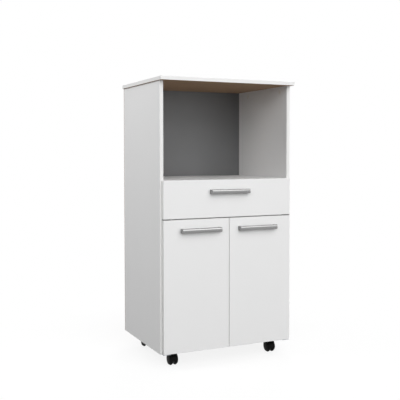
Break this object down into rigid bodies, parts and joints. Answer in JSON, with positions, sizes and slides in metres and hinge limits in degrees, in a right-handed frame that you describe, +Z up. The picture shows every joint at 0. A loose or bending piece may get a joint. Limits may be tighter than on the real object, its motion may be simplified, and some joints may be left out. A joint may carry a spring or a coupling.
{
  "type": "kitchen cabinet",
  "caption": "White kitchen cabinet on swivel casters with an open oven niche, a drawer on roller slides and hinged cupboard doors below, with bow handles.",
  "frame": {"origin": "on the floor, under the middle of the outside box in X and Y", "axes": "+Z up; the drawer and doors face -Y, the back panels +Y; +X to the right of someone who looks at the fronts"},
  "size_m": [0.61, 0.49, 1.17],
  "materials": {
    "white_melamine": "white melamine-faced particle board, satin",
    "hardboard": "thin hardboard, painted grey-white on the inner face and raw on the other",
    "satin_silver": "satin silver",
    "black_nylon": "black nylon, slightly glossy",
    "zinc_plated_steel": "zinc-plated steel",
    "white_nylon": "white nylon",
    "beech": "fluted beech"
  },
  "bodies": {
    "carcass": {"left_side": "white_melamine", "right_side": "white_melamine", "top_board": "white_melamine", "bottom_board": "white_melamine", "niche_shelf": "white_melamine", "cross_rail": "white_melamine", "inner_shelf": "white_melamine", "shelf_pins": "white_nylon", "niche_back": "hardboard", "lower_back": "hardboard", "back_nails": "zinc_plated_steel", "cam_locks": "zinc_plated_steel", "cam_caps": "white_nylon", "cam_bolts": "zinc_plated_steel", "dowels": "beech", "upper_pivot_leaves": "zinc_plated_steel", "lower_pivot_leaves": "zinc_plated_steel", "fitting_screws": "zinc_plated_steel", "magnetic_catch": "white_nylon", "left_slide_channel": "zinc_plated_steel", "right_slide_channel": "zinc_plated_steel", "slide_screws": "zinc_plated_steel", "caster_plates": "zinc_plated_steel", "caster_screws": "zinc_plated_steel"},
    "drawer": {"drawer_front": "white_melamine", "drawer_left_side": "white_melamine", "drawer_right_side": "white_melamine", "drawer_back": "white_melamine", "drawer_base": "hardboard", "drawer_dowels": "beech", "drawer_screws": "zinc_plated_steel", "drawer_left_runner": "zinc_plated_steel", "drawer_right_runner": "zinc_plated_steel", "runner_screws": "zinc_plated_steel", "drawer_handle": "satin_silver", "drawer_handle_screws": "zinc_plated_steel"},
    "front_rollers": {"front_rollers": "white_nylon"},
    "rear_rollers": {"rear_rollers": "white_nylon"},
    "left_door": {"left_door": "white_melamine", "left_door_bushes": "white_nylon", "left_door_handle": "satin_silver", "left_door_handle_screws": "zinc_plated_steel", "left_strike_plate": "zinc_plated_steel"},
    "right_door": {"right_door": "white_melamine", "right_door_bushes": "white_nylon", "right_door_handle": "satin_silver", "right_door_handle_screws": "zinc_plated_steel", "right_strike_plate": "zinc_plated_steel"},
    "front_left_hood": {"front_left_caster_hood": "black_nylon", "front_left_caster_axle": "zinc_plated_steel"},
    "front_left_wheels": {"front_left_caster_wheels": "black_nylon"},
    "front_right_hood": {"front_right_caster_hood": "black_nylon", "front_right_caster_axle": "zinc_plated_steel"},
    "front_right_wheels": {"front_right_caster_wheels": "black_nylon"},
    "rear_left_hood": {"rear_left_caster_hood": "black_nylon", "rear_left_caster_axle": "zinc_plated_steel"},
    "rear_left_wheels": {"rear_left_caster_wheels": "black_nylon"},
    "rear_right_hood": {"rear_right_caster_hood": "black_nylon", "rear_right_caster_axle": "zinc_plated_steel"},
    "rear_right_wheels": {"rear_right_caster_wheels": "black_nylon"}
  },
  "joints": [
    {"name": "drawer_slide", "type": "slide", "parent": "carcass", "child": "drawer", "axis": [0, -1, 0], "range_m": [0, 0.3]},
    {"name": "front_roller_spin", "type": "hinge", "parent": "carcass", "child": "front_rollers", "pos_m": [0, -0.184, 0.6332], "axis": [1, 0, 0], "range_deg": [0, 2160]},
    {"name": "rear_roller_spin", "type": "hinge", "parent": "drawer", "child": "rear_rollers", "pos_m": [0, 0.176, 0.6334], "axis": [1, 0, 0], "range_deg": [0, 2160]},
    {"name": "left_door_swing", "type": "hinge", "parent": "carcass", "child": "left_door", "pos_m": [-0.2855, -0.2135, 0.332], "axis": [0, 0, -1], "range_deg": [0, 110]},
    {"name": "right_door_swing", "type": "hinge", "parent": "carcass", "child": "right_door", "pos_m": [0.2855, -0.2135, 0.332], "axis": [0, 0, 1], "range_deg": [0, 110]},
    {"name": "front_left_swivel", "type": "hinge", "parent": "carcass", "child": "front_left_hood", "pos_m": [-0.228, -0.139, 0.055], "axis": [0, 0, 1], "continuous": true},
    {"name": "front_left_roll", "type": "hinge", "parent": "front_left_hood", "child": "front_left_wheels", "pos_m": [-0.228, -0.155, 0.025], "axis": [1, 0, 0], "continuous": true},
    {"name": "front_right_swivel", "type": "hinge", "parent": "carcass", "child": "front_right_hood", "pos_m": [0.228, -0.139, 0.055], "axis": [0, 0, 1], "continuous": true},
    {"name": "front_right_roll", "type": "hinge", "parent": "front_right_hood", "child": "front_right_wheels", "pos_m": [0.228, -0.155, 0.025], "axis": [1, 0, 0], "continuous": true},
    {"name": "rear_left_swivel", "type": "hinge", "parent": "carcass", "child": "rear_left_hood", "pos_m": [-0.228, 0.177, 0.055], "axis": [0, 0, 1], "continuous": true},
    {"name": "rear_left_roll", "type": "hinge", "parent": "rear_left_hood", "child": "rear_left_wheels", "pos_m": [-0.228, 0.161, 0.025], "axis": [1, 0, 0], "continuous": true},
    {"name": "rear_right_swivel", "type": "hinge", "parent": "carcass", "child": "rear_right_hood", "pos_m": [0.228, 0.177, 0.055], "axis": [0, 0, 1], "continuous": true},
    {"name": "rear_right_roll", "type": "hinge", "parent": "rear_right_hood", "child": "rear_right_wheels", "pos_m": [0.228, 0.161, 0.025], "axis": [1, 0, 0], "continuous": true}
  ],
  "couplings": [
    {"joint": "front_roller_spin", "follows": "drawer_slide", "rad_per_m": 125},
    {"joint": "rear_roller_spin", "follows": "drawer_slide", "rad_per_m": 116.28}
  ]
}
